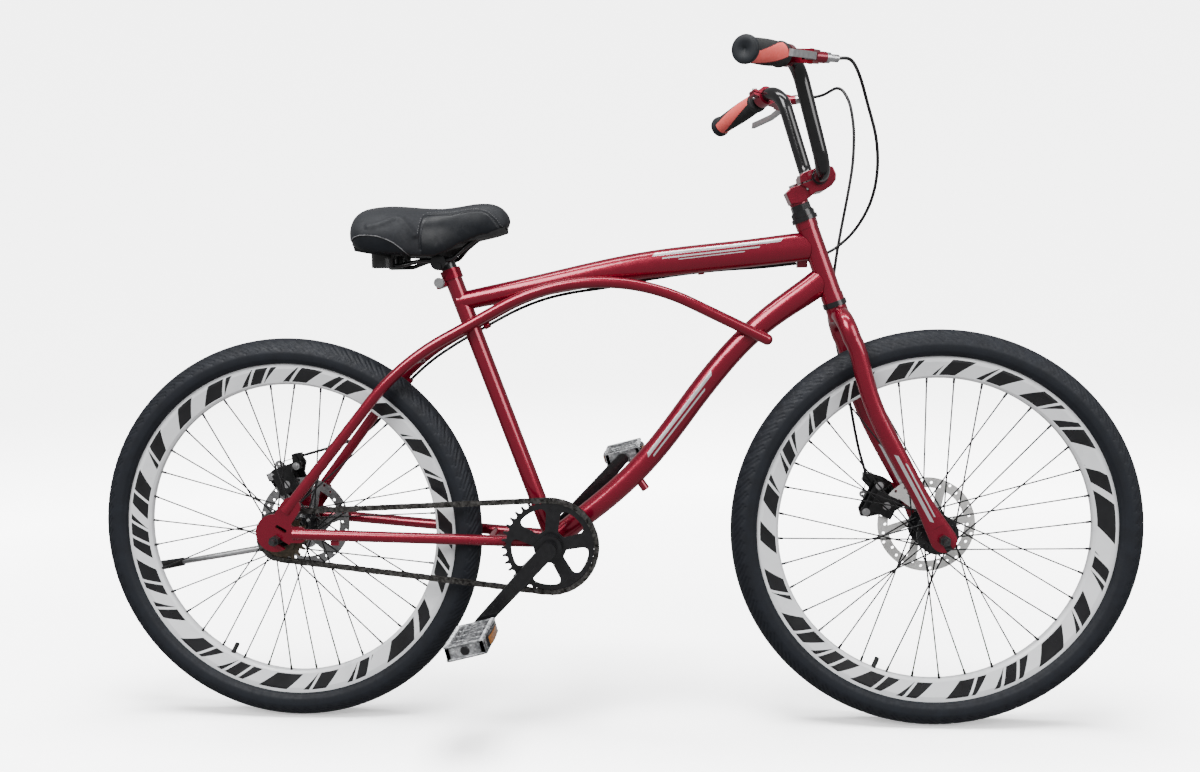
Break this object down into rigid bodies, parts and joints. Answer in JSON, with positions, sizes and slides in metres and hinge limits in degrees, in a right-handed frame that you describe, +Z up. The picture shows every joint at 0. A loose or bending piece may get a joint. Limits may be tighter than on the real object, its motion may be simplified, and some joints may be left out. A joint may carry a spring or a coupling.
{
  "type": "bicycle",
  "caption": "Beach cruiser bicycle with an arched frame, swept handlebar, padded saddle, disc brakes, single-speed chain drive and a folded side stand.",
  "frame": {"origin": "on the ground midway between the wheel axles, in the bicycle's middle plane", "axes": "+X forward, +Y to the rider's left, +Z up"},
  "size_m": [1.7288, 0.5664, 1.0719],
  "materials": {
    "paint_red": "candy metallic gloss",
    "black_gloss": "gloss black",
    "black_parts": "satin black",
    "steel": "bare",
    "rotor_steel": "brushed",
    "alloy": "cast grey",
    "rim_white": "gloss white with black blocks",
    "tyre_rubber": "matt",
    "tube_rubber": "matt",
    "grip_rubber": "matt",
    "cover": "soft grained cover over padding",
    "plastic_black": "matt",
    "pedal_plastic": "smoky",
    "chain_brown": "browned",
    "cable_black": "smooth sheath",
    "foot_rubber": "matt",
    "bearing_steel": "bare"
  },
  "bodies": {
    "frame": {"head_tube": "paint_red", "top_tube": "paint_red", "down_tube": "paint_red", "seat_tube": "paint_red", "bottom_bracket_shell": "paint_red", "arch_stays": "paint_red", "chain_stays": "paint_red", "dropouts": "paint_red", "frame_brackets": "paint_red", "headset_bearings": "black_parts", "bottom_bracket_bearings": "bearing_steel", "seat_clamp": "black_parts", "rear_axle": "steel", "rear_caliper": "black_parts", "rear_brake_cable": "cable_black", "chain": "chain_brown", "kickstand_bracket": "steel"},
    "fork": {"fork_steerer": "paint_red", "fork_blade_right": "paint_red", "fork_blade_left": "paint_red", "headset_nuts": "black_parts", "stem": "paint_red", "steering_fasteners": "steel", "handlebar": "black_gloss", "grip_right": "grip_rubber", "grip_left": "grip_rubber", "lever_perch_right": "paint_red", "lever_perch_left": "paint_red", "front_axle": "black_parts", "front_caliper": "black_parts", "front_brake_cable": "cable_black", "rear_cable_loop": "cable_black"},
    "front_wheel": {"front_tyre": "tyre_rubber", "front_inner_tube": "tube_rubber", "front_rim": "rim_white", "front_spokes": "steel", "front_hub": "black_parts", "front_rotor": "rotor_steel"},
    "rear_wheel": {"rear_tyre": "tyre_rubber", "rear_inner_tube": "tube_rubber", "rear_rim": "rim_white", "rear_spokes": "steel", "rear_hub": "black_parts", "rear_rotor": "rotor_steel"},
    "freewheel_body": {"freewheel": "chain_brown"},
    "crank": {"crank_axles": "steel", "crank_arms": "black_parts", "chainring": "black_parts"},
    "pedal_right_body": {"pedal_right": "pedal_plastic"},
    "pedal_left_body": {"pedal_left": "pedal_plastic"},
    "lever_right_body": {"brake_lever_right": "alloy"},
    "lever_left_body": {"brake_lever_left": "alloy"},
    "front_arm_body": {"front_caliper_arm": "steel"},
    "rear_arm_body": {"rear_caliper_arm": "steel"},
    "seat": {"seatpost": "black_parts", "saddle_rails": "black_parts", "saddle_base": "plastic_black", "saddle_cushion": "cover"},
    "kickstand": {"kickstand_leg": "alloy", "kickstand_foot": "foot_rubber"}
  },
  "joints": [
    {"name": "steering", "type": "hinge", "parent": "frame", "child": "fork", "pos_m": [0.3742, 0, 0.7029], "axis": [-0.3347, 0, 0.9423], "range_deg": [-60, 60], "deforming": ["rear_cable_loop"]},
    {"name": "front_wheel_spin", "type": "hinge", "parent": "fork", "child": "front_wheel", "pos_m": [0.5365, 0, 0.328], "axis": [0, 1, 0], "continuous": true},
    {"name": "rear_wheel_spin", "type": "hinge", "parent": "frame", "child": "rear_wheel", "pos_m": [-0.5365, 0, 0.328], "axis": [0, 1, 0], "continuous": true, "deforming": ["chain"]},
    {"name": "freewheel_spin", "type": "hinge", "parent": "frame", "child": "freewheel_body", "pos_m": [-0.5365, 0, 0.328], "axis": [0, 1, 0], "continuous": true, "deforming": ["chain"]},
    {"name": "crank_spin", "type": "hinge", "parent": "frame", "child": "crank", "pos_m": [-0.0874, 0, 0.3115], "axis": [0, 1, 0], "continuous": true, "deforming": ["chain"]},
    {"name": "pedal_right_spin", "type": "hinge", "parent": "crank", "child": "pedal_right_body", "pos_m": [-0.20291, 0, 0.18677], "axis": [0, 1, 0], "continuous": true},
    {"name": "pedal_left_spin", "type": "hinge", "parent": "crank", "child": "pedal_left_body", "pos_m": [0.02811, 0, 0.43623], "axis": [0, 1, 0], "continuous": true},
    {"name": "lever_right_pull", "type": "hinge", "parent": "fork", "child": "lever_right_body", "pos_m": [0.31084, -0.16117, 1.04637], "axis": [-0.0934, 0.2227, -0.9704], "range_deg": [0, 14], "stiffness_Nm_per_rad": 2},
    {"name": "lever_left_pull", "type": "hinge", "parent": "fork", "child": "lever_left_body", "pos_m": [0.31084, 0.16117, 1.04637], "axis": [0.0934, 0.2227, 0.9704], "range_deg": [0, 14], "stiffness_Nm_per_rad": 2},
    {"name": "front_arm_pull", "type": "hinge", "parent": "fork", "child": "front_arm_body", "pos_m": [0.46999, 0, 0.36044], "axis": [0, 1, 0], "range_deg": [0, 17]},
    {"name": "rear_arm_pull", "type": "hinge", "parent": "frame", "child": "rear_arm_body", "pos_m": [-0.56422, 0, 0.39661], "axis": [0, 1, 0], "range_deg": [0, 17]},
    {"name": "seatpost_slide", "type": "slide", "parent": "frame", "child": "seat", "axis": [-0.3363, 0, 0.9417], "range_m": [0, 0.12]},
    {"name": "kickstand_swing", "type": "hinge", "parent": "frame", "child": "kickstand", "pos_m": [-0.54, 0.0835, 0.287], "axis": [0.0406, -0.9539, -0.2974], "range_deg": [0, 86]}
  ],
  "couplings": [
    {"joint": "freewheel_spin", "follows": "rear_wheel_spin", "ratio": 1},
    {"joint": "crank_spin", "follows": "rear_wheel_spin", "ratio": 0.52632},
    {"joint": "rear_arm_pull", "follows": "lever_right_pull", "ratio": 1.2},
    {"joint": "front_arm_pull", "follows": "lever_left_pull", "ratio": 1.2}
  ]
}
